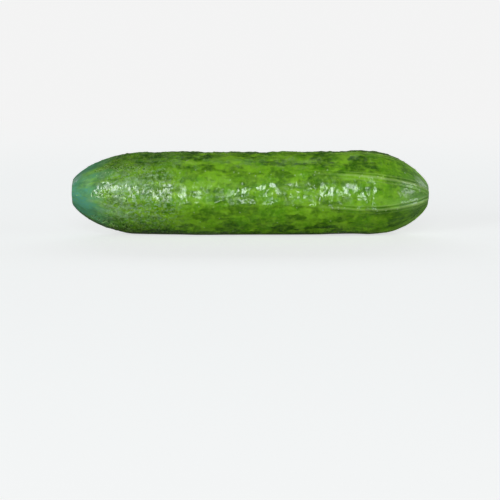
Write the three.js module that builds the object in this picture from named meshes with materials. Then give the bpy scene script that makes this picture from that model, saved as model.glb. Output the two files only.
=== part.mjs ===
// A short smooth-skinned cucumber, as picked, lying on its belly. It grew as one piece, so it is one solid.
// Millimetres, +Z up. The stem end points to -X and the blossom end to +X. The fruit bows a little, with
// its belly to -Y. The origin is the middle of the footprint, on the surface that the fruit rests on.
import * as THREE from "three";
import { ImprovedNoise } from "three/addons/math/ImprovedNoise.js";
import { mergeVertices } from "three/addons/utils/BufferGeometryUtils.js";

const { clamp, degToRad, euclideanModulo, radToDeg, smoothstep } = THREE.MathUtils;

// Main sizes
const LENGTH = 160;
const STEM_FACE_RADIUS = 6.2;
const FACE_ROUNDING = 0.7;
const STEM_BODY_RADIUS = 18.8;
const BLOSSOM_BODY_RADIUS = 19.1;
const STEM_SHOULDER_LENGTH = 30;
const BLOSSOM_SHOULDER_LENGTH = 28;

// The scars at the two ends: the core of the broken stalk in its sunken ring, and the dry button of the flower
const STALK_CORE_RADIUS = 2;
const STALK_CORE_DEPTH = 0.3;
const STALK_RING_RADIUS = 2.8;
const STALK_RING_DEPTH = 1.2;
const STALK_LIP_RADIUS = 3.7;
const FLOWER_SCAR_RADIUS = 1.5;
const FLOWER_RING_RADIUS = 2.1;
const FLOWER_RING_DEPTH = 0.45;

// The line through the middle of the fruit: a light bow sideways, and a tip that droops
const HALF = LENGTH / 2;
const BOW = 3;
const CENTRE_LINE = [
  [-HALF, BOW, 0.1],
  [-0.55 * HALF, 0.3 * BOW, 0.15],
  [0, 0, 0],
  [0.55 * HALF, 0.3 * BOW, 0.3],
  [HALF, BOW, -1.4],
].map((point) => new THREE.Vector3(...point));

// Ridges run from end to end. Angles are in degrees round the fruit: 0 faces -Y and 90 faces up. They are
// given at the blossom end, and every ridge twists by the same angle on its way to the stem end.
const RIDGE_ANGLES = [26, 72, 108, 143, 178, 214, 251, 290, 342];
const RIDGE_TWIST = 14;
const RIDGE_HEIGHT_MIDDLE = 0.3;
const RIDGE_HEIGHT_STEM = 0.25;
const RIDGE_HEIGHT_BLOSSOM = 0.75;

// Three seed chambers make the section a little three-sided, and the skin between the ridges is lumpy
const CHAMBER_HEIGHT = 0.25;
const CHAMBER_ANGLE = 25;
const LUMP_HEIGHT = 0.34;
const LUMP_LENGTH = 4.3;
const LUMP_WIDTH = 7;
const SWELL_HEIGHT = 0.5;
const SWELL_LENGTH = 38;

// The fruit's own weight presses a small flat spot into the belly
const FLAT_DEPTH = 0.55;

// Faces: steps round the fruit, and steps along each stretch of the outline
const STEPS_ROUND = 64;
const STEPS_STEM_SHOULDER = 17;
const STEPS_BODY = 49;
const STEPS_BLOSSOM_SHOULDER = 18;

const noise = new ImprovedNoise();
const centreLine = new THREE.CatmullRomCurve3(CENTRE_LINE);

// The outline that is turned round the centre line, as points of radius and distance from the stem end
function outline() {
  const stemShoulder = new THREE.CubicBezierCurve(
    new THREE.Vector2(STEM_FACE_RADIUS, 0.5 * FACE_ROUNDING),
    new THREE.Vector2(STEM_FACE_RADIUS + 5, 4),
    new THREE.Vector2(STEM_BODY_RADIUS, 17),
    new THREE.Vector2(STEM_BODY_RADIUS, STEM_SHOULDER_LENGTH),
  );
  const body = new THREE.LineCurve(
    new THREE.Vector2(STEM_BODY_RADIUS, STEM_SHOULDER_LENGTH),
    new THREE.Vector2(BLOSSOM_BODY_RADIUS, LENGTH - BLOSSOM_SHOULDER_LENGTH),
  );
  const blossomShoulder = new THREE.CubicBezierCurve(
    new THREE.Vector2(BLOSSOM_BODY_RADIUS, LENGTH - BLOSSOM_SHOULDER_LENGTH),
    new THREE.Vector2(BLOSSOM_BODY_RADIUS, LENGTH - 12),
    new THREE.Vector2(8, LENGTH),
    new THREE.Vector2(FLOWER_RING_RADIUS, LENGTH - 0.1),
  );
  const stalkScar = [
    new THREE.Vector2(0, STALK_CORE_DEPTH),
    new THREE.Vector2(0.5 * STALK_CORE_RADIUS, STALK_CORE_DEPTH),
    new THREE.Vector2(STALK_CORE_RADIUS, 2 * STALK_CORE_DEPTH),
    new THREE.Vector2(STALK_RING_RADIUS, STALK_RING_DEPTH),
    new THREE.Vector2(STALK_LIP_RADIUS, 0.5 * STALK_RING_DEPTH),
    new THREE.Vector2(STEM_FACE_RADIUS - FACE_ROUNDING, 0),
  ];
  const flowerScar = [
    new THREE.Vector2(FLOWER_SCAR_RADIUS, LENGTH - FLOWER_RING_DEPTH),
    new THREE.Vector2(0.75 * FLOWER_SCAR_RADIUS, LENGTH),
    new THREE.Vector2(0.5 * FLOWER_SCAR_RADIUS, LENGTH),
    new THREE.Vector2(0, LENGTH - 0.5 * FLOWER_RING_DEPTH),
  ];
  return [
    ...stalkScar,
    ...stemShoulder.getSpacedPoints(STEPS_STEM_SHOULDER),
    ...body.getSpacedPoints(STEPS_BODY).slice(1, -1),
    ...blossomShoulder.getSpacedPoints(STEPS_BLOSSOM_SHOULDER),
    ...flowerScar,
  ];
}

// 0 on a ridge and 1 in the furrow half way to the next, deeper where the next ridge is further away
function furrow(along, angle) {
  const evenSpacing = 360 / RIDGE_ANGLES.length;
  const untwisted = angle - RIDGE_TWIST * (1 - along / LENGTH);
  for (let i = 0; i < RIDGE_ANGLES.length; i++) {
    const next = RIDGE_ANGLES[(i + 1) % RIDGE_ANGLES.length];
    const spacing = euclideanModulo(next - RIDGE_ANGLES[i], 360);
    const past = euclideanModulo(untwisted - RIDGE_ANGLES[i], 360);
    if (past < spacing) {
      return (Math.sin((Math.PI * past) / spacing) * spacing) / evenSpacing;
    }
  }
  return 0;
}

// How tall the ridges stand at a distance from the stem end: tallest on the blossom shoulder
function ridgeHeight(along) {
  const towardsStem = 1 - smoothstep(along, 12, 45);
  const towardsBlossom = smoothstep(along, LENGTH - 55, LENGTH - 20);
  return (
    RIDGE_HEIGHT_MIDDLE +
    (RIDGE_HEIGHT_STEM - RIDGE_HEIGHT_MIDDLE) * towardsStem +
    (RIDGE_HEIGHT_BLOSSOM - RIDGE_HEIGHT_MIDDLE) * towardsBlossom
  );
}

// Height of the skin over the plain outline, from the ridges, the seed chambers and the lumps
function relief(along, angle, radius) {
  const side = radius * Math.cos(degToRad(angle));
  const up = radius * Math.sin(degToRad(angle));
  const chambers = CHAMBER_HEIGHT * Math.cos(degToRad(3 * (angle - CHAMBER_ANGLE)));
  const lumps =
    LUMP_HEIGHT * noise.noise(along / LUMP_LENGTH, side / LUMP_WIDTH, up / LUMP_WIDTH);
  const swell =
    SWELL_HEIGHT * noise.noise(along / SWELL_LENGTH, side / SWELL_LENGTH, up / SWELL_LENGTH + 0.5);
  const calmEnds = smoothstep(along, 8, 26) * (1 - 0.7 * smoothstep(along, LENGTH - 30, LENGTH - 8));
  const calmBelly = 1 - 0.8 * smoothstep(-up / BLOSSOM_BODY_RADIUS, 0.9, 0.98);
  const clearOfScars = smoothstep(radius, STEM_FACE_RADIUS, 9);
  return (
    clearOfScars *
    (chambers + swell + lumps * calmEnds * calmBelly - ridgeHeight(along) * furrow(along, angle))
  );
}

// Moves a point of the turned outline onto the bowed centre line, with the relief added
function place(turned) {
  const radius = Math.hypot(turned.x, turned.z);
  const angle = euclideanModulo(radToDeg(Math.atan2(-turned.x, turned.z)), 360);
  const along = turned.y;
  const share = clamp(along / LENGTH, 0, 1);
  const forward = centreLine.getTangentAt(share);
  const up = new THREE.Vector3(0, 0, 1).addScaledVector(forward, -forward.z).normalize();
  const front = new THREE.Vector3().crossVectors(up, forward).negate();
  const reach = radius + relief(along, angle, radius);
  return centreLine
    .getPointAt(share)
    .addScaledVector(front, reach * Math.cos(degToRad(angle)))
    .addScaledVector(up, reach * Math.sin(degToRad(angle)));
}

// Sets the fruit on z = 0 with its belly pressed flat there, and centres its footprint on the origin
function rest(geometry) {
  geometry.computeBoundingBox();
  geometry.translate(0, 0, -geometry.boundingBox.min.z - FLAT_DEPTH);
  const position = geometry.getAttribute("position");
  for (let i = 0; i < position.count; i++) {
    position.setZ(i, Math.max(position.getZ(i), 0));
  }
  geometry.computeBoundingBox();
  const centre = geometry.boundingBox.getCenter(new THREE.Vector3());
  geometry.translate(-centre.x, -centre.y, 0);
}

function cucumberGeometry() {
  const turned = new THREE.LatheGeometry(outline(), STEPS_ROUND);
  turned.deleteAttribute("normal");
  turned.deleteAttribute("uv");
  const position = turned.getAttribute("position");
  for (let i = 0; i < position.count; i++) {
    const point = place(new THREE.Vector3().fromBufferAttribute(position, i));
    position.setXYZ(i, ...point);
  }
  const skin = mergeVertices(turned, 1e-3);
  rest(skin);
  skin.computeVertexNormals();
  return skin;
}

const skinMaterial = new THREE.MeshStandardMaterial({
  color: new THREE.Color().setRGB(0.34, 0.53, 0.13, THREE.SRGBColorSpace),
  roughness: 0.35,
  metalness: 0,
});

const cucumber = new THREE.Mesh(cucumberGeometry(), skinMaterial);
cucumber.name = "cucumber";

const fruit = new THREE.Group();
fruit.add(cucumber);

export default fruit;
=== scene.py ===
"""A short smooth-skinned cucumber, as picked, lying on its belly on a pale studio floor.

The fruit points along X: its stem end to -X and its blossom end to +X. The finer skin grown here keeps the
form of the plain solid under it, and adds the ribs, lumps, wrinkles, warts and scars. All sizes are metres.
"""

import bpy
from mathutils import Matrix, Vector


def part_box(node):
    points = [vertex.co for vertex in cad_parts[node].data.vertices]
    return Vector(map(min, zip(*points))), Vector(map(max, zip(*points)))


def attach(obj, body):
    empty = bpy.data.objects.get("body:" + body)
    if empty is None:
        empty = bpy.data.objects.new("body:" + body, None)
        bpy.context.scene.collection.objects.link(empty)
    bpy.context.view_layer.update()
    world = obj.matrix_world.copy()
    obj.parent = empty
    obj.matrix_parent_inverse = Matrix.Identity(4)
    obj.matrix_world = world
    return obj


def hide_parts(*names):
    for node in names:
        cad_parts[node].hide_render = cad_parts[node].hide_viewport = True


bl_info = {
    "name": "Garden Cucumber",
    "version": (1, 0, 0),
    "blender": (4, 5, 0),
    "location": "3D View > Sidebar > Cucumber",
    "description": "Grows the fine skin of a short smooth cucumber and sets the studio round it",
    "category": "Add Mesh",
}

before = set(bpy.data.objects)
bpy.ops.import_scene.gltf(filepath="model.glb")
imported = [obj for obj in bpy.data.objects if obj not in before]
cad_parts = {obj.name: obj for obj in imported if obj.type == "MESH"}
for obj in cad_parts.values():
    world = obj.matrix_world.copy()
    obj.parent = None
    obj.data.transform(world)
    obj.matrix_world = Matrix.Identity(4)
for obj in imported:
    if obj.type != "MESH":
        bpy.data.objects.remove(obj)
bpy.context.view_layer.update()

import math
import random
from types import SimpleNamespace
from typing import NamedTuple

import bpy
import numpy as np
from bpy.props import FloatProperty, FloatVectorProperty, IntProperty, PointerProperty
from mathutils import Vector
from mathutils.kdtree import KDTree

MM = 0.001
LOW, HIGH = (Vector(corner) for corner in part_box("cucumber"))
LENGTH = HIGH.x - LOW.x
BODY_RADIUS = (HIGH.z - LOW.z) / 2
MIDDLE = (LOW + HIGH) / 2

# Copying the plain fruit and reading its shape
MERGE_DISTANCE = 0.002 * MM
MIDDLE_LINE_DEGREE = 4
LEAST_WEIGHT = 0.001

# From here on, a pair of numbers is where a change starts and ends, or the least and most of a random draw.
# A place along the fruit is a share of its length from the stem end, unless it is in mm. An angle round it
# is in degrees, 0 at -Y and 90 at the top.

# Ribs, by their angles at the blossom end. They twist towards the stem end, and a lower rib runs on each side
RIB_ANGLES = (26, 72, 108, 143, 178, 214, 251, 290, 342)
RIB_TWIST = 14
RIB_WANDER = 1.6
RIB_WANDER_LENGTH = 55 * MM
RIBS_GROW = (0.5, 0.92)
RIBS_LEAVE_STEM = (0.05, 0.25)
RIBS_LEAVE_SCARS = (2 * MM, 5 * MM)
RIB_HEIGHT_AT_STEM = 0.12
RIB_LEAST_HEIGHT = 0.1
RIB_LEAST_RADIUS = 2 * MM
SIDE_RIB_OFFSET = 1.7 * MM
SIDE_RIB_WIDTH = 0.6
SIDE_RIB_HEIGHT = 0.4

# Zones of the skin: the smooth stem cap, the leathery stem shoulder and the smooth blossom end
STEM_CAP_ENDS = (0.06, 0.13)
LEATHER_ENDS = (0.22, 0.35)
BLOSSOM_STARTS = (0.8, 0.92)
STALK_SCAR_ENDS = (0.005, 0.03)
FLOWER_SCAR_STARTS = (0.97, 0.995)
CLEAR_OF_TABLE = (0.3 * MM, 2.5 * MM)
CALM_STEM_CAP = 0.85
CALM_BLOSSOM = 0.8
CALM_LEATHER = 0.5
WRINKLES_OFF_LEATHER = 0.3
GRAIN_OFF_LEATHER = 0.25

# Size of the cells of each relief: along the fruit, and the two ways across it
DENT_CELL = (11 * MM, 13 * MM, 13 * MM)
LUMP_CELL = (3 * MM, 8 * MM, 8 * MM)
KNOB_CELL = (3 * MM, 3 * MM, 3 * MM)
WRINKLE_CELL = (1.1 * MM, 4 * MM, 4 * MM)
GRAIN_CELL = (0.8 * MM, 0.8 * MM, 0.8 * MM)
CELL_CONTRAST = 3

# Spine scars, which stray this many degrees from their rib
WARTS_LIE = (0.015, 0.97)
WART_RADIUS = (0.55 * MM, 0.95 * MM)
WART_STRAY = 2.2

# Pits stand in rows beside the ribs of the stem shoulder, and each is a short slot of three dots
PIT_ROW_START = (0.06, 0.1)
PIT_ROW_END = (0.13, 0.21)
PIT_STEP = (0.007, 0.016)
PIT_LEAD = 11
PIT_LEAD_END = 0.3
PIT_STRAY = 2
PIT_SLOT_TURN = (1, 6)
PIT_SLOT_SLANT = (-0.008, 0.008)
PIT_RADIUS = (0.55 * MM, 0.8 * MM)
PIT_HEIGHT = (0.7, 1)
BLOSSOM_PITS = 14
BLOSSOM_PITS_LIE = (0.95, 0.99)
BLOSSOM_PIT_RADIUS = (0.5 * MM, 0.7 * MM)
BLOSSOM_PIT_HEIGHT = 0.5

# The scars: the core, ring and rim of the stalk scar, and the button of the flower scar
STALK_CORE_RADIUS = 2 * MM
STALK_RING_RADIUS = 2.8 * MM
STALK_RING_WIDTH = 0.5 * MM
STALK_RIM_RADIUS = 4.9 * MM
FLOWER_RADIUS = 2 * MM
STRANDS = 9
STRAND_CIRCLE = 0.68 * STALK_CORE_RADIUS
STRAND_RADIUS = (0.35 * MM, 0.5 * MM)
STRAND_STRAY = (-0.25, 0.25)
SCAR_CRACKS = 13
CRACK_BEND = 900

# Zones round a scar, as shares of its radius
CRACKS_START = (0.1, 0.4)
CRACKS_END = (0.75, 1)
SCAR_EDGE = (0.86, 0.98)
SCAR_RIM_STARTS = (0.8, 0.95)
SCAR_RIM_ENDS = (1, 1.25)

# Where the peel's colour changes, measured along the skin from the middle of the fruit. Its broad patches
# move most of these places by up to RAGGED_BY
BLOOM_FADES = (-80 * MM, -55 * MM)
WAX_SHEEN_STARTS = (-76 * MM, -62 * MM)
WAX_SHEEN_FADES = (-56 * MM, -36 * MM)
RIB_LINES_START = (15 * MM, 70 * MM)
PALE_END_STARTS = (58 * MM, 88 * MM)
RAGGED_BY = 10 * MM

# Where the peel's colour changes across the fruit, measured from its middle line towards -Y, where the camera
# stands. These lay painted shade on the side turned away from the camera, and painted sheen on the side
# facing it
FAR_SHADE_ENDS = (-4 * MM, 17 * MM)
FRONT_STARTS = (11 * MM, 19 * MM)

# Lines along each rib: a line of painted shade beside it, and how far from its middle each line is full and
# has gone
RIB_LINE_EDGE = (0.2 * MM, 0.85 * MM)
RIB_SHADE_OFFSET = 1.1 * MM
RIB_SHADE_EDGE = (0.1 * MM, 0.5 * MM)
SIDE_LINE_EDGE = (0, 0.5 * MM)
SIDE_LINE_STRENGTH = 0.5

# The lines are full on long streaks and fainter between them: the streaks' mask where they start and are full
RIB_LINE_BREAKS = (-0.8, 0.6)


class Patch(NamedTuple):
    """Soft patches on the peel. They start where the noise passes low, and are full where it passes high."""

    length: float
    width: float
    low: float
    high: float
    detail: float = 2
    slanted: bool = False


PATCHES = {
    "broad": Patch(24 * MM, 9 * MM, 0.42, 0.62),
    "blotches": Patch(5 * MM, 4 * MM, 0.48, 0.68),
    "shadows": Patch(9 * MM, 5 * MM, 0.47, 0.6),
    "dark_streaks": Patch(4 * MM, 1.9 * MM, 0.52, 0.74),
    "long_streaks": Patch(12 * MM, 2.6 * MM, 0.46, 0.7),
    "mottles": Patch(2 * MM, 1.7 * MM, 0.46, 0.66, detail=3),
    "fine_streaks": Patch(4 * MM, 0.9 * MM, 0.5, 0.7, detail=3),
    "specks": Patch(0.55 * MM, 0.55 * MM, 0.6, 0.72, detail=1),
    "flakes": Patch(1.7 * MM, 1.1 * MM, 0.51, 0.61, detail=3, slanted=True),
    "frosting": Patch(7 * MM, 4 * MM, 0.4, 0.7, detail=3),
    "pale_rims": Patch(2 * MM, 1.5 * MM, 0.45, 0.55),
    "wax_spots": Patch(4 * MM, 4 * MM, 0.46, 0.64),
    "wax_smears": Patch(13 * MM, 7 * MM, 0.46, 0.6),
    "dry_spots": Patch(0.8 * MM, 1.5 * MM, 0.5, 0.6),
    "wrinkles": Patch(1.2 * MM, 2.6 * MM, 0.35, 0.65, detail=3, slanted=True),
    "grain": Patch(0.5 * MM, 0.6 * MM, 0.3, 0.7),
}
PATCH_SLANT = math.radians(20)

# The body's colours, from the lowest layer up: where it lies, its colour and how much it covers there
BODY_LAYERS = (
    ("broad", "light_green", 0.5),
    ("blotches", "light_green", 0.75),
    ("deep_shadows", "dark_green", 1),
    ("dark_streaks", "dark_green", 0.5),
    ("long_streaks", "light_green", 0.35),
    ("mottles", "light_green", 0.4),
    ("fine_streaks", "light_green", 0.15),
    ("specks", "rib_green", 0.14),
    ("nets", "rib_green", 0.35),
)

# How much the other layers cover where they are full
FAR_SHADE_COVER = 0.6
WAX_SHEEN_COVER = 0.5
FLAKE_GLINT_COVER = 0.6
SHADE_COVER = 0.35
RIB_SHADE_COVER = 0.6
RIB_LINE_COVER = 0.75
WART_COVER = 0.6
PIT_RIM_COVER = 0.4
PIT_SHADE_COVER = 0.85
SCAR_RIM_COVER = 0.7
SCAR_RING_COVER = 0.75
CRACK_COVER = 0.8
FIBRE_COVER = 0.55
STRAND_COVER = 0.7

# How much duller the peel is in some places, and how much of its wet coat is missing
DULLER = (("stem", 0.15), ("waxy", 0.2), ("fine_streaks", 0.06), ("scars", 0.4))
DRIER = (("scars", 1), ("waxy", 0.85), ("leather", 0.2), ("dry_spots", 0.75))

# Heights of the relief that is too fine for faces
WRINKLE_BUMP = 0.3 * MM
GRAIN_BUMP = 0.12 * MM
NET_BUMP = 0.1 * MM
FIBRE_BUMP = 0.25 * MM

# The cell of the scars' fibres, how far they fray a scar's edge, and how far the nets' lines bend, in cells
FIBRE_CELL = 0.7 * MM
FIBRE_FRAY = 1.1 * MM
NET_BEND = (0.8, 0.8, 0.8)

# The shader's values that are the same all over the peel
COAT_ROUGHNESS = 0.13
COAT_IOR = 1.9
SPECULAR_LEVEL = 0.12

# The Mix node has several sockets of one name. These are the ones for its mask and colours
MIX_MASK = 0
MIX_UNDER = 6
MIX_OVER = 7
MIX_RESULT = 2


class Lamp(NamedTuple):
    """A rectangular soft lamp, with its angles in degrees. Azimuth 0 is in front, and 90 at the blossom end.

    power names its setting, share is how much of that it takes, and off is the kind of light it leaves out.
    """

    name: str
    power: str
    size: tuple
    azimuth: float
    elevation: float
    share: float = 1
    off: str = ""


LAMPS = (
    Lamp("Key", "key_power", (0.8, 1.1), 0, 20, off="visible_glossy"),
    Lamp("Sparkle", "sparkle_power", (0.8, 0.6), 0, 8, off="visible_diffuse"),
    Lamp("Low sparkle", "sparkle_power", (0.8, 0.25), 0, -15, share=0.3, off="visible_diffuse"),
    Lamp("Stem side", "stem_power", (0.9, 0.8), -43, 12),
    Lamp("Blossom side", "blossom_power", (1.6, 0.9), 75, 8),
    Lamp("Back left", "back_power", (1, 1), -135, 12),
    Lamp("Back right", "back_power", (1, 1), 135, 12),
    Lamp("Back fill", "fill_power", (2, 0.4), 180, 25, off="visible_glossy"),
    Lamp("Overhead", "top_power", (1, 0.6), 180, 72),
)
LAMP_DISTANCE = 2
LAMP_COLOUR = (0.91, 0.99, 1)

# The photograph's frame is 500 px, and the fruit is 357 px long in it, with its middle at this pixel
PHOTO_WIDTH = 500
FRUIT_WIDTH = 357
FRUIT_MIDDLE = (250.5, 192.5)
SENSOR_WIDTH = 36


# Settings that a user would change


def length_setting(name, description, default):
    """A setting in metres."""
    return FloatProperty(name=name, description=description, default=default, unit="LENGTH")


def colour_setting(name, description, default):
    """A setting that is a colour."""
    return FloatVectorProperty(name=name, description=description, default=default, subtype="COLOR")


def power_setting(name, description, default):
    """A setting in watts."""
    return FloatProperty(name=name, description=description, default=default, unit="POWER")


def strength_setting(name, description, default):
    """A setting that is a plain number, from 0 up."""
    return FloatProperty(name=name, description=description, default=default, min=0)


class SkinSettings(bpy.types.PropertyGroup):
    levels: IntProperty(
        name="Skin Levels",
        description="How often each face of the plain fruit is divided",
        default=2,
        min=1,
        max=2,
    )
    rib_height: length_setting("Rib Height", "Height of the fine ribs at the blossom end", 0.3 * MM)
    rib_width: length_setting("Rib Width", "Half the width of a fine rib", 0.75 * MM)
    lump_height: length_setting("Lump Height", "Height of the shallow lumps of the skin", 0.3 * MM)
    knob_height: length_setting("Knob Height", "Height of the small round knobs of the skin", 0.24 * MM)
    dent_height: length_setting("Dent Height", "Height of the broad dents of the skin", 0.22 * MM)
    wrinkle_height: length_setting("Wrinkle Height", "Height of the fine cross wrinkles", 0.2 * MM)
    grain_height: length_setting("Grain Height", "Height of the leathery grain", 0.16 * MM)
    warts: IntProperty(name="Warts", description="Number of spine scars on the skin", default=330, min=0)
    wart_height: length_setting("Wart Height", "Height of a spine scar", 0.22 * MM)
    pit_depth: length_setting("Pit Depth", "Depth of the dents on the stem shoulder", 0.4 * MM)
    crack_depth: length_setting("Crack Depth", "Depth of the cracks in the dry scars", 0.12 * MM)
    seed: IntProperty(name="Seed", description="Start of the random draws for warts and pits", default=7)


class PeelSettings(bpy.types.PropertyGroup):
    green: colour_setting("Green", "Main colour of the peel", (0.15, 0.44, 0.006))
    light_green: colour_setting("Light Green", "Colour of the light streaks", (0.38, 0.76, 0.03))
    # Dark green is also the colour of the painted shade on the peel
    dark_green: colour_setting("Dark Green", "Colour of the dark patches", (0.035, 0.14, 0.003))
    bloom: colour_setting("Bloom", "Blue-green bloom of the stem end", (0.15, 0.5, 0.33))
    # The whitish wax also serves as painted sheen on the side of the stem end that faces the camera
    wax_and_sheen: colour_setting("Frost", "Whitish wax near the stem end", (0.52, 0.8, 0.45))
    pale_green: colour_setting("Pale Green", "Colour of the blossom end", (0.26, 0.55, 0.12))
    rib_green: colour_setting("Rib Green", "Colour of the pale rib lines", (0.6, 0.85, 0.24))
    wart_tip: colour_setting("Wart Tip", "Colour of the spine scars", (0.7, 0.9, 0.45))
    cork: colour_setting("Cork", "Light colour of the dry scars", (0.5, 0.4, 0.22))
    scar_brown: colour_setting("Scar Brown", "Dark colour of the dry scars", (0.11, 0.085, 0.035))
    roughness: FloatProperty(
        name="Roughness",
        description="Roughness of the waxy peel",
        default=0.26,
        min=0,
        max=1,
        subtype="FACTOR",
    )


class StudioSettings(bpy.types.PropertyGroup):
    floor_radius: length_setting("Floor Radius", "Radius of the round floor", 30)
    shadow_radius: length_setting("Shadow Radius", "How far out the floor shows shadows", 0.25)
    floor_colour: colour_setting("Floor Colour", "Colour that the floor reflects at the fruit", (0.16,) * 3)
    paper_colour: colour_setting("Paper Colour", "Colour of the floor as the camera sees it", (0.65,) * 3)
    floor_glow: strength_setting("Floor Glow", "Brightness that the camera adds to the floor", 0.62)
    key_power: power_setting("Key Light", "Power of the light in front, which leaves no highlights", 12)
    sparkle_power: power_setting("Sparkle Light", "Power of the light that leaves the highlights", 9)
    stem_power: power_setting("Stem Light", "Power of the soft light on the stem end", 14)
    blossom_power: power_setting("Blossom Light", "Power of the soft light on the blossom end", 10)
    back_power: power_setting("Back Lights", "Power of each of the two soft lights behind", 2.5)
    fill_power: power_setting("Back Fill", "Power of the light behind that leaves no highlights", 12)
    top_power: power_setting("Top Light", "Power of the soft light overhead", 0.5)
    ambient: strength_setting("Ambient", "Strength of the light from all round", 0.05)
    backdrop: strength_setting("Backdrop", "Brightness of what the camera sees past the floor", 0.9)
    lens: FloatProperty(
        name="Lens", description="Focal length of the camera", default=135, min=1, unit="CAMERA"
    )
    elevation: FloatProperty(
        name="Elevation",
        description="Height of the camera over the horizon",
        default=math.radians(8),
        unit="ROTATION",
    )


# The skin


def smoothstep(values, low, high):
    """0 below low, 1 above high and a soft rise between them."""
    share = np.clip((values - low) / (high - low), 0, 1)
    return share * share * (3 - 2 * share)


def activate(piece):
    """Leaves this piece as the only one selected, and active."""
    bpy.ops.object.select_all(action="DESELECT")
    piece.select_set(True)
    bpy.context.view_layer.objects.active = piece


def copy_of_node(node, name):
    """A new piece with the node's mesh, its loose triangles joined and paired into four-sided faces."""
    piece = bpy.data.objects.new(name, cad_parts[node].data.copy())
    bpy.context.scene.collection.objects.link(piece)
    activate(piece)
    bpy.ops.object.mode_set(mode="EDIT")
    bpy.ops.mesh.select_all(action="SELECT")
    bpy.ops.mesh.remove_doubles(threshold=MERGE_DISTANCE)
    bpy.ops.mesh.tris_convert_to_quads(face_threshold=math.pi, shape_threshold=math.pi)
    bpy.ops.object.mode_set(mode="OBJECT")
    return piece


def divide_faces(skin, levels):
    """Divides every face of the skin and smooths it."""
    divided = skin.modifiers.new("Fine faces", "SUBSURF")
    divided.levels = levels
    divided.render_levels = levels
    activate(skin)
    bpy.ops.object.modifier_apply(modifier=divided.name)


def skin_map(skin):
    """Where every point of the skin lies: along the fruit, round it in degrees, and out from its middle."""
    points = np.empty(3 * len(skin.data.vertices))
    skin.data.vertices.foreach_get("co", points)
    points = points.reshape(-1, 3)
    along = points[:, 0] - LOW.x
    middle_line = np.polyfit(along, points[:, 1:], MIDDLE_LINE_DEGREE)
    out = np.polyval(middle_line[:, 0], along) - points[:, 1]
    up = points[:, 2] - np.polyval(middle_line[:, 1], along)
    return SimpleNamespace(
        points=points,
        along=along,
        share=along / LENGTH,
        angle=np.degrees(np.arctan2(up, out)) % 360,
        radius=np.hypot(out, up),
    )


def point_tree(points):
    """The points in a tree that finds those near a place."""
    tree = KDTree(len(points))
    for index, point in enumerate(points):
        tree.insert(point, index)
    tree.balance()
    return tree


def off_nearest_rib(where):
    """Distance of every point from the nearest rib, measured round the fruit: above 0 on one side of it."""
    nearest = np.full_like(where.along, math.inf)
    for rib in RIB_ANGLES:
        wander = RIB_WANDER * np.sin(2 * math.pi * where.along / RIB_WANDER_LENGTH + rib)
        centre = rib + RIB_TWIST * (1 - where.share) + wander
        turn = (where.angle - centre + 180) % 360 - 180
        off = np.radians(turn) * np.maximum(where.radius, RIB_LEAST_RADIUS)
        nearest = np.where(np.abs(off) < np.abs(nearest), off, nearest)
    return nearest


def rib_ridges(where, off_rib, width):
    """1 on a fine rib and 0 beside it. Ribs are sharp at the blossom end and fade towards the middle."""
    blossom = smoothstep(where.share, *RIBS_GROW)
    stem = RIB_HEIGHT_AT_STEM * (1 - smoothstep(where.share, *RIBS_LEAVE_STEM))
    grown = RIB_LEAST_HEIGHT + (1 - RIB_LEAST_HEIGHT) * np.maximum(blossom, stem)
    ridge = np.exp(-((off_rib / width) ** 2))
    from_side_rib = np.abs(off_rib) - SIDE_RIB_OFFSET
    side_ridge = np.exp(-((from_side_rib / (SIDE_RIB_WIDTH * width)) ** 2))
    clear_of_scars = smoothstep(where.radius, *RIBS_LEAVE_SCARS)
    return grown * clear_of_scars * (ridge + SIDE_RIB_HEIGHT * blossom * side_ridge)


def dot(tree, weights, centre, radius, height=1):
    """Adds one round spot to the weights, highest at its centre."""
    for _, index, distance in tree.find_range(centre, radius):
        weights[index] = max(weights[index], height * math.cos(0.5 * math.pi * distance / radius) ** 2)


def nearest_point(where, share, angle):
    """The skin point closest to a share of the length and an angle round the fruit."""
    turn = np.radians((where.angle - angle + 180) % 360 - 180) * BODY_RADIUS
    return where.points[np.argmin((where.along - share * LENGTH) ** 2 + turn**2)]


def wart_spots(where, tree, settings):
    """Spine scars: two in three sit in rows along the ribs, and the others are scattered over the skin."""
    draw = random.Random(settings.seed)
    spots = np.zeros_like(where.along)
    for count in range(settings.warts):
        share = draw.uniform(*WARTS_LIE)
        angle = draw.uniform(0, 360)
        if count % 3:
            angle = draw.choice(RIB_ANGLES) + RIB_TWIST * (1 - share) + draw.gauss(0, WART_STRAY)
        dot(tree, spots, nearest_point(where, share, angle), draw.uniform(*WART_RADIUS))
    return spots


def pit_spots(where, tree, settings):
    """Small dents in rows along the ribs, where the skin shrinks at the shoulder of the stem end."""
    draw = random.Random(settings.seed + 1)
    spots = np.zeros_like(where.along)
    for rib in RIB_ANGLES:
        share = draw.uniform(*PIT_ROW_START)
        end = draw.uniform(*PIT_ROW_END)
        while share < end:
            lead = PIT_LEAD * (1 - share / PIT_LEAD_END)
            angle = rib + RIB_TWIST * (1 - share) + lead + draw.gauss(0, PIT_STRAY)
            slot_turn = draw.uniform(*PIT_SLOT_TURN)
            slant = draw.uniform(*PIT_SLOT_SLANT)
            for offset in (-0.5, 0, 0.5):
                centre = nearest_point(where, share + offset * slant, angle + offset * slot_turn)
                dot(tree, spots, centre, draw.uniform(*PIT_RADIUS), height=draw.uniform(*PIT_HEIGHT))
            share += draw.uniform(*PIT_STEP)
    for _ in range(BLOSSOM_PITS):
        share = draw.uniform(*BLOSSOM_PITS_LIE)
        centre = nearest_point(where, share, draw.uniform(0, 360))
        dot(tree, spots, centre, draw.uniform(*BLOSSOM_PIT_RADIUS), height=BLOSSOM_PIT_HEIGHT)
    return spots


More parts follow.
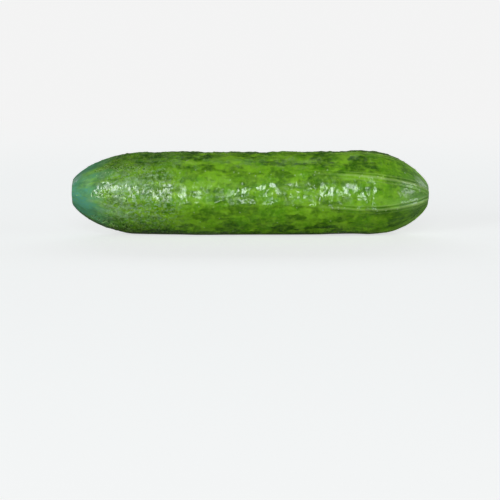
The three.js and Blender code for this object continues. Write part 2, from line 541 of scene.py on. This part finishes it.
def strand_ends(where, tree):
    """The ends of the stalk's sap strands: a circle of small dots on the core of the stalk scar."""
    draw = random.Random(STRANDS)
    dots = np.zeros_like(where.along)
    on_core = (where.share < 0.5) & (where.radius < STALK_CORE_RADIUS)
    out = where.radius * np.cos(np.radians(where.angle))
    up = where.radius * np.sin(np.radians(where.angle))
    for strand in range(STRANDS):
        turn = math.radians(360 * (strand + draw.uniform(*STRAND_STRAY)) / STRANDS)
        aside = (out - STRAND_CIRCLE * math.cos(turn)) ** 2
        above = (up - STRAND_CIRCLE * math.sin(turn)) ** 2
        nearest = np.argmin(np.where(on_core, aside + above, math.inf))
        dot(tree, dots, where.points[nearest], draw.uniform(*STRAND_RADIUS))
    return dots


def scar_cracks(where):
    """Fine cracks that run out from the middle of both scars."""
    turn = np.radians(where.angle)
    rays = 0.5 + 0.5 * np.cos(SCAR_CRACKS * turn + 2 * np.sin(3 * turn) + CRACK_BEND * where.radius)
    inward = where.radius / np.where(where.share < 0.5, STALK_RIM_RADIUS, FLOWER_RADIUS)
    return rays**3 * smoothstep(inward, *CRACKS_START) * (1 - smoothstep(inward, *CRACKS_END))


def skin_marks(where, settings):
    """How strong each mark is at every point of the skin, from 0 to 1."""
    tree = point_tree(where.points)
    off_rib = off_nearest_rib(where)
    stem_cap = 1 - smoothstep(where.share, *STEM_CAP_ENDS)
    blossom = smoothstep(where.share, *BLOSSOM_STARTS)
    leather = (1 - stem_cap) * (1 - smoothstep(where.share, *LEATHER_ENDS))
    return SimpleNamespace(
        off_rib=off_rib,
        ribs=rib_ridges(where, off_rib, settings.rib_width),
        warts=wart_spots(where, tree, settings),
        pits=pit_spots(where, tree, settings),
        strands=strand_ends(where, tree),
        cracks=scar_cracks(where),
        leather=leather,
        body=(1 - CALM_STEM_CAP * stem_cap) * (1 - CALM_BLOSSOM * blossom),
        off_the_table=smoothstep(where.points[:, 2], *CLEAR_OF_TABLE),
        between_scars=smoothstep(where.share, *STALK_SCAR_ENDS)
        * (1 - smoothstep(where.share, *FLOWER_SCAR_STARTS)),
    )


def paint_group(skin, name, weights):
    """Keeps the weights as a vertex group for the modifiers to read."""
    group = skin.vertex_groups.new(name=name)
    for index in np.flatnonzero(weights > LEAST_WEIGHT):
        group.add([int(index)], float(weights[index]), "REPLACE")


def paint_groups(skin, marks):
    """Says where each relief is raised. The flat spot on the table stays flat."""
    wrinkled = WRINKLES_OFF_LEATHER + (1 - WRINKLES_OFF_LEATHER) * marks.leather
    grained = GRAIN_OFF_LEATHER + (1 - GRAIN_OFF_LEATHER) * marks.leather
    raised = {
        "ribs": marks.ribs,
        "lumps": marks.body * (1 - CALM_LEATHER * marks.leather),
        "wrinkles": wrinkled * marks.body,
        "grain": grained * marks.body,
        "warts": marks.warts * marks.between_scars,
        "pits": marks.pits,
    }
    for name, weights in raised.items():
        paint_group(skin, name, weights * marks.off_the_table)
    paint_group(skin, "strands", marks.strands)
    paint_group(skin, "cracks", marks.cracks)


def noise_texture(name, kind, depth=2):
    """A cloud texture with cells one unit wide."""
    texture = bpy.data.textures.new(name, "CLOUDS")
    texture.noise_type = kind
    texture.noise_basis = "IMPROVED_PERLIN"
    texture.noise_scale = 1
    texture.contrast = CELL_CONTRAST
    texture.noise_depth = depth
    return texture


def raise_skin(skin, group, height, texture=None, cell=None):
    """Moves the skin out by the height times the group's weight, broken up by a texture with such cells."""
    modifier = skin.modifiers.new(group, "DISPLACE")
    modifier.strength = height
    modifier.vertex_group = group
    modifier.mid_level = 0
    if texture:
        ruler = bpy.data.objects.new("ruler", None)
        bpy.context.scene.collection.objects.link(ruler)
        ruler.scale = cell
        bpy.context.view_layer.update()
        modifier.texture = texture
        modifier.texture_coords = "OBJECT"
        modifier.texture_coords_object = ruler
        modifier.mid_level = 0.5
    activate(skin)
    bpy.ops.object.modifier_apply(modifier=modifier.name)
    if texture:
        bpy.data.objects.remove(ruler)


def raise_relief(skin, settings):
    """Raises every relief, from the broadest to the finest."""
    soft = noise_texture("Soft lumps", "SOFT_NOISE")
    broad = noise_texture("Broad dents", "SOFT_NOISE", depth=0)
    creased = noise_texture("Creased", "HARD_NOISE")
    raise_skin(skin, "lumps", settings.dent_height, broad, DENT_CELL)
    raise_skin(skin, "lumps", settings.lump_height, soft, LUMP_CELL)
    raise_skin(skin, "lumps", settings.knob_height, soft, KNOB_CELL)
    raise_skin(skin, "wrinkles", settings.wrinkle_height, creased, WRINKLE_CELL)
    raise_skin(skin, "grain", settings.grain_height, soft, GRAIN_CELL)
    raise_skin(skin, "ribs", settings.rib_height)
    raise_skin(skin, "warts", settings.wart_height)
    raise_skin(skin, "pits", -settings.pit_depth)
    raise_skin(skin, "strands", settings.wart_height)
    raise_skin(skin, "cracks", -settings.crack_depth)


def along_the_skin(where):
    """The skin's own coordinates: distance along it from the middle, and a place round an even tube."""
    from_middle = where.along - LENGTH / 2
    shoulder_drop = np.maximum(BODY_RADIUS - where.radius, 0)
    reach = np.abs(from_middle) + 0.5 * shoulder_drop
    turn = np.radians(where.angle)
    return np.column_stack(
        (np.sign(from_middle) * reach, BODY_RADIUS * np.cos(turn), BODY_RADIUS * np.sin(turn))
    )


def paint_attribute(skin, name, kind, key, values):
    """Keeps one value for each point as an attribute for the material to read."""
    attribute = skin.data.attributes.new(name, kind, "POINT")
    attribute.data.foreach_set(key, np.ascontiguousarray(values, dtype=np.float32).ravel())


def paint_attributes(skin, where, marks, rib_width):
    """Keeps what the material needs to know of every point."""
    paint_attribute(skin, "grow", "FLOAT_VECTOR", "vector", along_the_skin(where))
    measures = {
        "from_rib": np.abs(marks.off_rib),
        "rib_side": np.clip(marks.off_rib / rib_width, -1, 1),
        "leather": marks.leather,
        "wart": marks.warts,
        "pit": marks.pits,
        "from_axis": where.radius,
        "strand": marks.strands,
        "crack": marks.cracks,
    }
    for name, values in measures.items():
        paint_attribute(skin, name, "FLOAT", "value", values)


class CUCUMBER_OT_skin(bpy.types.Operator):
    """Grow the fine skin over the plain fruit"""

    bl_idname = "cucumber.skin"
    bl_label = "Grow Skin"

    def execute(self, context):
        settings = context.scene.cucumber_skin
        skin = copy_of_node("cucumber", "cucumber_skin")
        divide_faces(skin, settings.levels)
        where = skin_map(skin)
        marks = skin_marks(where, settings)
        paint_groups(skin, marks)
        raise_relief(skin, settings)
        paint_attributes(skin, where, marks, settings.rib_width)
        skin.vertex_groups.clear()

        bpy.ops.object.shade_smooth()
        skin.data.materials.clear()
        skin.data.materials.append(peel_material(context.scene.cucumber_peel))
        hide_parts("cucumber")
        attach(skin, "root")
        return {"FINISHED"}


# The peel's material


def with_alpha(colour):
    """The colour as a colour socket takes it. A socket stays as it is."""
    return colour if isinstance(colour, bpy.types.NodeSocket) else (*colour, 1)


class Nodes:
    """Adds nodes to one node tree. A value that is a socket is linked, and any other is set."""

    def __init__(self, tree):
        self.tree = tree

    def give(self, socket, value):
        """Links or sets an input."""
        if isinstance(value, bpy.types.NodeSocket):
            self.tree.links.new(value, socket)
        else:
            socket.default_value = value

    def add(self, kind, inputs=(), **settings):
        """A new node with its settings and inputs."""
        node = self.tree.nodes.new(kind)
        for name, value in settings.items():
            setattr(node, name, value)
        for name, value in dict(inputs).items():
            self.give(node.inputs[name], value)
        return node

    def attribute(self, name, output="Fac"):
        """What the skin keeps under this name for each of its points."""
        return self.add("ShaderNodeAttribute", attribute_name=name).outputs[output]

    def maths(self, operation, *values):
        """The result of a maths node."""
        return self.add("ShaderNodeMath", enumerate(values), operation=operation).outputs[0]

    def times(self, first, *others):
        """All the values multiplied."""
        product = first
        for value in others:
            product = self.maths("MULTIPLY", product, value)
        return product

    def scale(self, value, factor, offset):
        """The value times the factor, plus the offset."""
        return self.maths("MULTIPLY_ADD", value, factor, offset)

    def rise(self, value, low, high):
        """0 below low and 1 above high, with a soft rise between them."""
        inputs = {"Value": value, "From Min": low, "From Max": high}
        return self.add("ShaderNodeMapRange", inputs, interpolation_type="SMOOTHSTEP").outputs["Result"]

    def fall(self, value, low, high):
        """1 below low and 0 above high, with a soft fall between them."""
        return self.maths("SUBTRACT", 1, self.rise(value, low, high))

    def line(self, value, centre, full, none):
        """1 where the value is within full of the centre, and 0 where it is more than none away from it."""
        off_centre = self.maths("ABSOLUTE", self.maths("SUBTRACT", value, centre))
        return self.fall(off_centre, full, none)

    def lay(self, mask, under, over):
        """The under colour, with the over colour laid on it where the mask is 1."""
        inputs = {MIX_MASK: mask, MIX_UNDER: with_alpha(under), MIX_OVER: with_alpha(over)}
        return self.add("ShaderNodeMix", inputs, data_type="RGBA").outputs[MIX_RESULT]


def start_group(name, extra_inputs):
    """A new group that puts out a mask, its inputs, and the place counted in cells of Length and Width."""
    tree = bpy.data.node_groups.new(name, "ShaderNodeTree")
    tree.interface.new_socket("Place", in_out="INPUT", socket_type="NodeSocketVector")
    for socket in ("Length", "Width", *extra_inputs):
        tree.interface.new_socket(socket, in_out="INPUT", socket_type="NodeSocketFloat")
    tree.interface.new_socket("Mask", in_out="OUTPUT", socket_type="NodeSocketFloat")
    nodes = Nodes(tree)
    given = nodes.add("NodeGroupInput").outputs
    cell = nodes.add(
        "ShaderNodeCombineXYZ", {"X": given["Length"], "Y": given["Width"], "Z": given["Width"]}
    ).outputs["Vector"]
    place = nodes.add("ShaderNodeVectorMath", {0: given["Place"], 1: cell}, operation="DIVIDE").outputs[0]
    return nodes, given, place


def patches_group():
    """A mask of soft patches with their own length along the fruit and width round it."""
    nodes, given, place = start_group("Peel patches", ("Detail", "Low", "High"))
    noise = nodes.add("ShaderNodeTexNoise", {"Vector": place, "Scale": 1, "Detail": given["Detail"]})
    mask = nodes.rise(noise.outputs["Fac"], given["Low"], given["High"])
    nodes.add("NodeGroupOutput", {"Mask": mask})
    return nodes.tree


def net_group():
    """A mask of fine lines that join into a broken net, as where young skin has split and healed."""
    nodes, given, place = start_group("Healed net", ("Line",))
    bends = nodes.add("ShaderNodeTexNoise", {"Vector": place, "Scale": 1.5, "Detail": 2}).outputs["Color"]
    bend_by = {0: bends, 1: NET_BEND, 2: place}
    bent = nodes.add("ShaderNodeVectorMath", bend_by, operation="MULTIPLY_ADD").outputs[0]
    cells = nodes.add("ShaderNodeTexVoronoi", {"Vector": bent, "Scale": 1}, feature="DISTANCE_TO_EDGE")
    lines = nodes.fall(cells.outputs["Distance"], 0, given["Line"])
    breaks = nodes.add("ShaderNodeTexNoise", {"Vector": place, "Scale": 0.8, "Detail": 1})
    mask = nodes.times(lines, nodes.rise(breaks.outputs["Fac"], 0.42, 0.6))
    nodes.add("NodeGroupOutput", {"Mask": mask})
    return nodes.tree


def add_nets(nodes, place, slanted, strength):
    """A fine net and a coarser, fainter one, as clear as the strength says."""
    group = net_group()
    fine = {"Place": slanted, "Length": 1.6 * MM, "Width": 2.8 * MM, "Line": 0.2}
    coarse = {"Place": place, "Length": 3.2 * MM, "Width": 4.5 * MM, "Line": 0.1}
    fine_net, coarse_net = (
        nodes.add("ShaderNodeGroup", inputs, node_tree=group).outputs["Mask"] for inputs in (fine, coarse)
    )
    return nodes.times(nodes.maths("MAXIMUM", fine_net, nodes.times(coarse_net, 0.7)), strength)


def add_patches(nodes, place, slanted):
    """A mask for each kind of patch, by its name."""
    group = patches_group()
    masks = {}
    for name, patch in PATCHES.items():
        inputs = {
            "Place": slanted if patch.slanted else place,
            "Length": patch.length,
            "Width": patch.width,
            "Detail": patch.detail,
            "Low": patch.low,
            "High": patch.high,
        }
        masks[name] = nodes.add("ShaderNodeGroup", inputs, node_tree=group).outputs["Mask"]
    return masks


def add_scar_masks(nodes, peel):
    """Adds the dry scars to the masks, with a frayed edge that follows their fibres."""
    position = nodes.attribute("position", "Vector")
    fibres = {"Vector": position, "Scale": 1 / FIBRE_CELL, "Detail": 4}
    peel.fibres = nodes.add("ShaderNodeTexNoise", fibres).outputs["Fac"]
    frayed = nodes.maths("SUBTRACT", peel.fibres, 0.5)
    peel.from_axis = nodes.scale(frayed, FIBRE_FRAY, nodes.attribute("from_axis"))
    peel.at_stem = nodes.maths("LESS_THAN", peel.along, 0)
    reach = nodes.scale(peel.at_stem, STALK_RIM_RADIUS - FLOWER_RADIUS, FLOWER_RADIUS)
    peel.from_scar = nodes.maths("DIVIDE", peel.from_axis, reach)
    peel.scars = nodes.fall(peel.from_scar, *SCAR_EDGE)


def peel_masks(nodes):
    """The measures and masks that the peel's colour, gloss and bump share."""
    place = nodes.attribute("grow", "Vector")
    slant = {"Vector": place, "Rotation": (0, PATCH_SLANT, 0)}
    slanted = nodes.add("ShaderNodeMapping", slant).outputs["Vector"]
    axes = nodes.add("ShaderNodeSeparateXYZ", {"Vector": place}).outputs
    peel = SimpleNamespace(along=axes["X"], outwards=axes["Y"], **add_patches(nodes, place, slanted))
    peel.leather = nodes.attribute("leather")
    peel.roughened = nodes.scale(peel.leather, 0.85, 0.15)
    peel.nets = add_nets(nodes, place, slanted, peel.roughened)
    # Masks of the side facing the camera at -Y and of the side turned away, for painted sheen and painted
    # shade
    peel.towards_front = nodes.rise(peel.outwards, *FRONT_STARTS)
    peel.turned_away = nodes.fall(peel.outwards, *FRONT_STARTS)
    # Random dark patches, made deeper with painted shade on the side turned away from the camera
    peel.deep_shadows = nodes.times(peel.shadows, nodes.scale(peel.turned_away, 0.3, 0.65))
    peel.ragged = nodes.scale(peel.broad, RAGGED_BY, peel.along)
    peel.stem = nodes.fall(peel.ragged, *BLOOM_FADES)
    peel.blossom = nodes.rise(peel.ragged, *PALE_END_STARTS)
    peel.waxy = nodes.maths("MAXIMUM", peel.wax_spots, peel.wax_smears)
    add_scar_masks(nodes, peel)
    return peel


def body_colour(nodes, peel, colours):
    """Green with lighter and darker patches and streaks, and painted shade that darkens the top and bottom
    edges and the far side, away from the camera.
    """
    # Painted shade: darker towards the top and bottom edges and on the back, away from the camera
    far_shade = nodes.times(nodes.fall(peel.outwards, *FAR_SHADE_ENDS), FAR_SHADE_COVER)
    colour = nodes.lay(far_shade, colours.green, colours.dark_green)
    for mask, over, cover in BODY_LAYERS:
        colour = nodes.lay(nodes.times(getattr(peel, mask), cover), colour, getattr(colours, over))
    return colour


def end_colours(nodes, peel, colours, colour):
    """A blue-green bloom at the stem end, with whitish wax and flake marks that are partly painted sheen on
    the side facing the camera and painted shade on the side turned away, and a pale blossom end that is less
    pale on the side turned away, as painted shade.
    """
    mottled = nodes.maths("MAXIMUM", peel.mottles, peel.shadows)
    bloom = nodes.times(peel.stem, nodes.scale(mottled, -0.35, 1))
    colour = nodes.lay(bloom, colour, colours.bloom)
    # Whitish wax, laid only on the side facing the camera, so it is partly painted sheen
    wax_sheen_reach = nodes.times(nodes.rise(peel.ragged, *WAX_SHEEN_STARTS), nodes.fall(peel.ragged, *WAX_SHEEN_FADES))
    wax_and_sheen = nodes.times(wax_sheen_reach, peel.frosting, peel.towards_front, WAX_SHEEN_COVER)
    colour = nodes.lay(wax_and_sheen, colour, colours.wax_and_sheen)
    # Pale flake marks on the leathery shoulder, strongest on the side facing the camera, so they are partly
    # painted glints
    flake_glint_reach = nodes.times(peel.leather, nodes.scale(peel.towards_front, 0.7, 0.3))
    colour = nodes.lay(nodes.times(peel.flakes, flake_glint_reach, FLAKE_GLINT_COVER), colour, colours.wax_and_sheen)
    stem_half = nodes.maths("MAXIMUM", peel.leather, peel.stem)
    shade = nodes.times(peel.turned_away, stem_half, SHADE_COVER)
    colour = nodes.lay(shade, colour, colours.dark_green)
    # The blossom end's own paler colour, laid weaker on the side turned away from the camera as painted shade
    pale = nodes.times(peel.blossom, nodes.scale(peel.turned_away, -0.35, 0.75))
    return nodes.lay(pale, colour, colours.pale_green)


def rib_colours(nodes, peel, colours, colour):
    """A pale line on each rib, a fainter one beside it and a line of painted shade between on one side,
    fading towards the middle.
    """
    from_rib = nodes.attribute("from_rib")
    on_one_side = nodes.rise(nodes.attribute("rib_side"), 0, 1)
    broken_up = nodes.rise(peel.long_streaks, *RIB_LINE_BREAKS)
    reach = nodes.times(nodes.rise(peel.along, *RIB_LINES_START), broken_up)
    # Painted shade in the furrow on one side of each rib
    shade = nodes.times(nodes.line(from_rib, RIB_SHADE_OFFSET, *RIB_SHADE_EDGE), on_one_side)
    colour = nodes.lay(nodes.times(shade, reach, RIB_SHADE_COVER), colour, colours.dark_green)
    main_line = nodes.fall(from_rib, *RIB_LINE_EDGE)
    side_line = nodes.line(from_rib, SIDE_RIB_OFFSET, *SIDE_LINE_EDGE)
    lines = nodes.maths("MAXIMUM", main_line, nodes.times(side_line, SIDE_LINE_STRENGTH))
    return nodes.lay(nodes.times(lines, reach, RIB_LINE_COVER), colour, colours.rib_green)


def spot_colours(nodes, peel, colours, colour):
    """Pale spine scars, and pits darkened with painted shade, some with a pale rim."""
    warts = nodes.rise(nodes.attribute("wart"), 0.3, 0.85)
    colour = nodes.lay(nodes.times(warts, WART_COVER), colour, colours.wart_tip)
    pits = nodes.attribute("pit")
    rims = nodes.maths("SUBTRACT", nodes.rise(pits, 0.02, 0.12), nodes.rise(pits, 0.2, 0.4))
    colour = nodes.lay(nodes.times(rims, peel.pale_rims, PIT_RIM_COVER), colour, colours.wart_tip)
    # Painted shade in the hollow of each pit
    pit_shade = nodes.rise(pits, 0.2, 0.8)
    return nodes.lay(nodes.times(pit_shade, PIT_SHADE_COVER), colour, colours.dark_green)


def scar_colours(nodes, peel, colours, colour):
    """Corky scars, browner in their fibres, cracks and sunken ring, with a brown rim round them."""
    ring = nodes.maths("COMPARE", peel.from_axis, STALK_RING_RADIUS, STALK_RING_WIDTH)
    ring = nodes.times(ring, peel.at_stem, SCAR_RING_COVER)
    cracks = nodes.times(nodes.attribute("crack"), CRACK_COVER)
    fibres = nodes.times(nodes.rise(peel.fibres, 0.45, 0.7), FIBRE_COVER)
    brown = nodes.maths("MAXIMUM", nodes.maths("MAXIMUM", ring, cracks), fibres)
    scar = nodes.lay(brown, colours.cork, colours.scar_brown)
    scar = nodes.lay(nodes.times(nodes.attribute("strand"), STRAND_COVER), scar, colours.wart_tip)
    rim = nodes.times(
        nodes.rise(peel.from_scar, *SCAR_RIM_STARTS), nodes.fall(peel.from_scar, *SCAR_RIM_ENDS)
    )
    colour = nodes.lay(nodes.times(rim, SCAR_RIM_COVER), colour, colours.scar_brown)
    return nodes.lay(peel.scars, colour, scar)


def peel_roughness(nodes, peel, roughness):
    """Dull where wax and bloom lie on the peel, and on the scars."""
    for mask, duller in DULLER:
        roughness = nodes.scale(getattr(peel, mask), duller, roughness)
    return roughness


def wet_coat(nodes, peel):
    """How much of the wet shine each part of the peel has."""
    coat = 1
    for mask, drier in DRIER:
        coat = nodes.times(coat, nodes.scale(getattr(peel, mask), -drier, 1))
    return coat


def peel_bump(nodes, peel):
    """The finest wrinkles and grain of the peel, its healed net and the fibres of the scars."""
    height = nodes.times(peel.wrinkles, peel.roughened, WRINKLE_BUMP)
    height = nodes.scale(nodes.times(peel.grain, peel.roughened), GRAIN_BUMP, height)
    height = nodes.scale(peel.nets, NET_BUMP, height)
    height = nodes.scale(nodes.times(peel.fibres, peel.scars), FIBRE_BUMP, height)
    return nodes.add("ShaderNodeBump", {"Strength": 1, "Distance": 1, "Height": height}).outputs["Normal"]


def peel_material(colours):
    """Waxy green peel with patches and streaks, a bloom at the stem end, pale ribs and dry scars."""
    material = bpy.data.materials.new("Cucumber peel")
    material.use_nodes = True
    nodes = Nodes(material.node_tree)
    shader = material.node_tree.nodes["Principled BSDF"]
    shader.inputs["Coat Roughness"].default_value = COAT_ROUGHNESS
    shader.inputs["Coat IOR"].default_value = COAT_IOR
    shader.inputs["Specular IOR Level"].default_value = SPECULAR_LEVEL

    peel = peel_masks(nodes)
    colour = body_colour(nodes, peel, colours)
    for paint in (end_colours, rib_colours, spot_colours, scar_colours):
        colour = paint(nodes, peel, colours, colour)
    nodes.give(shader.inputs["Base Color"], colour)
    nodes.give(shader.inputs["Roughness"], peel_roughness(nodes, peel, colours.roughness))
    nodes.give(shader.inputs["Coat Weight"], wet_coat(nodes, peel))
    nodes.give(shader.inputs["Normal"], peel_bump(nodes, peel))
    return material


# The studio


def floor_material(settings):
    """Pale paper that shows the fruit's shadow near the fruit, and fades into the even backdrop away from it.

    The camera sees brighter paper than the fruit does, so that the floor throws little light up at the fruit.
    """
    material = bpy.data.materials.new("Floor paper")
    material.use_nodes = True
    nodes = Nodes(material.node_tree)
    shader = material.node_tree.nodes["Principled BSDF"]
    shader.inputs["Roughness"].default_value = 0.9
    shader.inputs["Specular IOR Level"].default_value = 0
    shader.inputs["Emission Color"].default_value = (1, 1, 1, 1)
    seen = nodes.add("ShaderNodeLightPath").outputs["Is Camera Ray"]
    place = nodes.add("ShaderNodeTexCoord").outputs["Object"]
    reach = nodes.add("ShaderNodeVectorMath", {0: place}, operation="LENGTH").outputs["Value"]
    away = nodes.rise(reach, settings.shadow_radius, 3 * settings.shadow_radius)
    paper = nodes.lay(seen, settings.floor_colour, settings.paper_colour)
    nodes.give(shader.inputs["Base Color"], nodes.lay(away, paper, (0, 0, 0)))
    glow = nodes.scale(away, settings.backdrop - settings.floor_glow, settings.floor_glow)
    nodes.give(shader.inputs["Emission Strength"], nodes.times(seen, glow))
    return material


def add_floor(settings):
    """A wide level floor under the fruit. Lamplight passes through it, and the peel doesn't mirror it."""
    bpy.ops.object.select_all(action="DESELECT")
    bpy.ops.mesh.primitive_circle_add(vertices=96, radius=settings.floor_radius, fill_type="NGON")
    floor = bpy.context.object
    floor.name = "floor"
    floor.data.materials.append(floor_material(settings))
    floor.visible_shadow = False
    floor.visible_glossy = False


def add_surroundings(ambient, backdrop):
    """Even light from all round, with a pale backdrop where the camera looks past the floor."""
    world = bpy.data.worlds.new("Surroundings")
    world.use_nodes = True
    nodes = Nodes(world.node_tree)
    background = world.node_tree.nodes["Background"]
    background.inputs["Color"].default_value = (1, 1, 1, 1)
    seen = nodes.add("ShaderNodeLightPath").outputs["Is Camera Ray"]
    nodes.give(background.inputs["Strength"], nodes.scale(seen, backdrop - ambient, ambient))
    bpy.context.scene.world = world


def hang_lamp(lamp, settings):
    """Hangs one of the soft lamps, which looks at the fruit and stays out of the camera's sight."""
    light = bpy.data.lights.new(lamp.name, "AREA")
    light.shape = "RECTANGLE"
    light.size, light.size_y = lamp.size
    light.energy = lamp.share * getattr(settings, lamp.power)
    light.color = LAMP_COLOUR
    hung = bpy.data.objects.new(lamp.name, light)
    bpy.context.scene.collection.objects.link(hung)
    azimuth = math.radians(lamp.azimuth)
    elevation = math.radians(lamp.elevation)
    flat = math.cos(elevation)
    direction = Vector((math.sin(azimuth) * flat, -math.cos(azimuth) * flat, math.sin(elevation)))
    hung.location = MIDDLE + LAMP_DISTANCE * direction
    hung.rotation_euler = (-direction).to_track_quat("-Z", "Y").to_euler()
    hung.visible_camera = False
    if lamp.off:
        setattr(hung, lamp.off, False)


def place_camera(settings):
    """The photograph's view: straight at the side of the fruit, which sits above the picture's middle."""
    camera = bpy.data.cameras.new("Camera")
    camera.lens = settings.lens
    camera.sensor_width = SENSOR_WIDTH
    eye = bpy.data.objects.new("Camera", camera)
    bpy.context.scene.collection.objects.link(eye)
    metres_per_pixel = LENGTH / FRUIT_WIDTH
    distance = PHOTO_WIDTH * metres_per_pixel * camera.lens / camera.sensor_width
    back = Vector((0, -math.cos(settings.elevation), math.sin(settings.elevation)))
    up = Vector((0, math.sin(settings.elevation), math.cos(settings.elevation)))
    aside = (PHOTO_WIDTH / 2 - FRUIT_MIDDLE[0]) * metres_per_pixel
    below = (FRUIT_MIDDLE[1] - PHOTO_WIDTH / 2) * metres_per_pixel
    target = MIDDLE + up * below + Vector((aside, 0, 0))
    eye.location = target + back * distance
    eye.rotation_euler = (-back).to_track_quat("-Z", "Y").to_euler()
    bpy.context.scene.camera = eye


class CUCUMBER_OT_stage(bpy.types.Operator):
    """Set the pale floor, the soft lights and the camera round the fruit"""

    bl_idname = "cucumber.stage"
    bl_label = "Set Stage"

    def execute(self, context):
        settings = context.scene.cucumber_studio
        add_floor(settings)
        add_surroundings(settings.ambient, settings.backdrop)
        for lamp in LAMPS:
            hang_lamp(lamp, settings)
        context.scene.view_settings.view_transform = "Standard"
        place_camera(settings)
        return {"FINISHED"}


class CUCUMBER_PT_panel(bpy.types.Panel):
    bl_label = "Garden Cucumber"
    bl_idname = "CUCUMBER_PT_panel"
    bl_space_type = "VIEW_3D"
    bl_region_type = "UI"
    bl_category = "Cucumber"

    def draw(self, context):
        sections = (
            (context.scene.cucumber_skin, CUCUMBER_OT_skin),
            (context.scene.cucumber_peel, None),
            (context.scene.cucumber_studio, CUCUMBER_OT_stage),
        )
        for settings, operator in sections:
            box = self.layout.box()
            for name in settings.__annotations__:
                box.prop(settings, name)
            if operator:
                box.operator(operator.bl_idname)


CLASSES = (
    SkinSettings,
    PeelSettings,
    StudioSettings,
    CUCUMBER_OT_skin,
    CUCUMBER_OT_stage,
    CUCUMBER_PT_panel,
)


def register():
    for cls in CLASSES:
        bpy.utils.register_class(cls)
    bpy.types.Scene.cucumber_skin = PointerProperty(type=SkinSettings)
    bpy.types.Scene.cucumber_peel = PointerProperty(type=PeelSettings)
    bpy.types.Scene.cucumber_studio = PointerProperty(type=StudioSettings)


def unregister():
    del bpy.types.Scene.cucumber_studio
    del bpy.types.Scene.cucumber_peel
    del bpy.types.Scene.cucumber_skin
    for cls in reversed(CLASSES):
        bpy.utils.unregister_class(cls)


def main():
    register()
    bpy.ops.cucumber.stage()
    bpy.ops.cucumber.skin()


if __name__ == "__main__":
    main()
